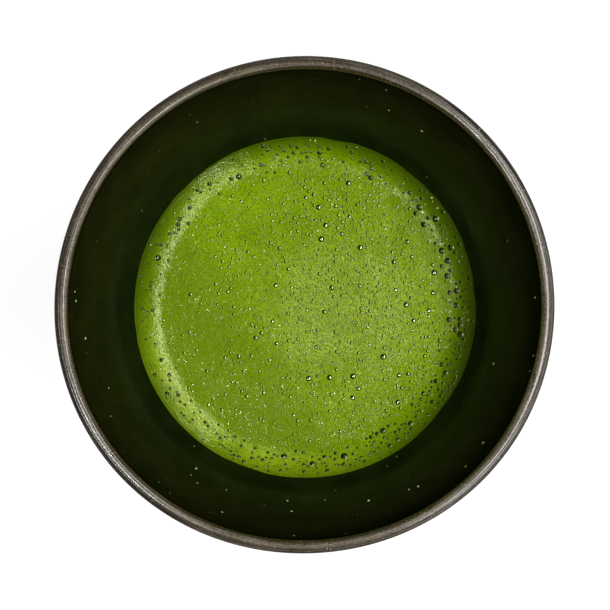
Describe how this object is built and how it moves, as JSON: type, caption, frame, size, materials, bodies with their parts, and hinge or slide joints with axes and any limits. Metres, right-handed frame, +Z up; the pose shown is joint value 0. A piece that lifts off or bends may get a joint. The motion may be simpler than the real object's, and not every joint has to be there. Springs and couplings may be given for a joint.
{
  "type": "matcha bowl",
  "caption": "Round black-glazed stoneware tea bowl on a turned foot ring, holding whisked green tea under a bubbly froth.",
  "frame": {"origin": "centre of the foot ring's resting plane, on the bowl's axis", "axes": "+Z up along the bowl's axis, +X to the right and -Y towards the viewer; the crowd of large bubbles at the froth's edge is on the +X side"},
  "size_m": [0.1212, 0.1212, 0.068],
  "materials": {
    "stoneware": "matte",
    "black_glaze": "gloss",
    "thin_lip_glaze": "satin",
    "tea_liquid": "gloss",
    "tea_froth": "satin",
    "bubble_film": "gloss"
  },
  "bodies": {
    "root": {"clay_body": "stoneware", "inside_glaze": "black_glaze", "lip_glaze": "thin_lip_glaze", "outside_glaze": "black_glaze", "tea": "tea_liquid", "froth": "tea_froth", "surface_bubbles": "bubble_film", "edge_bubbles": "bubble_film", "splash_droplets": "tea_liquid"}
  },
  "joints": []
}
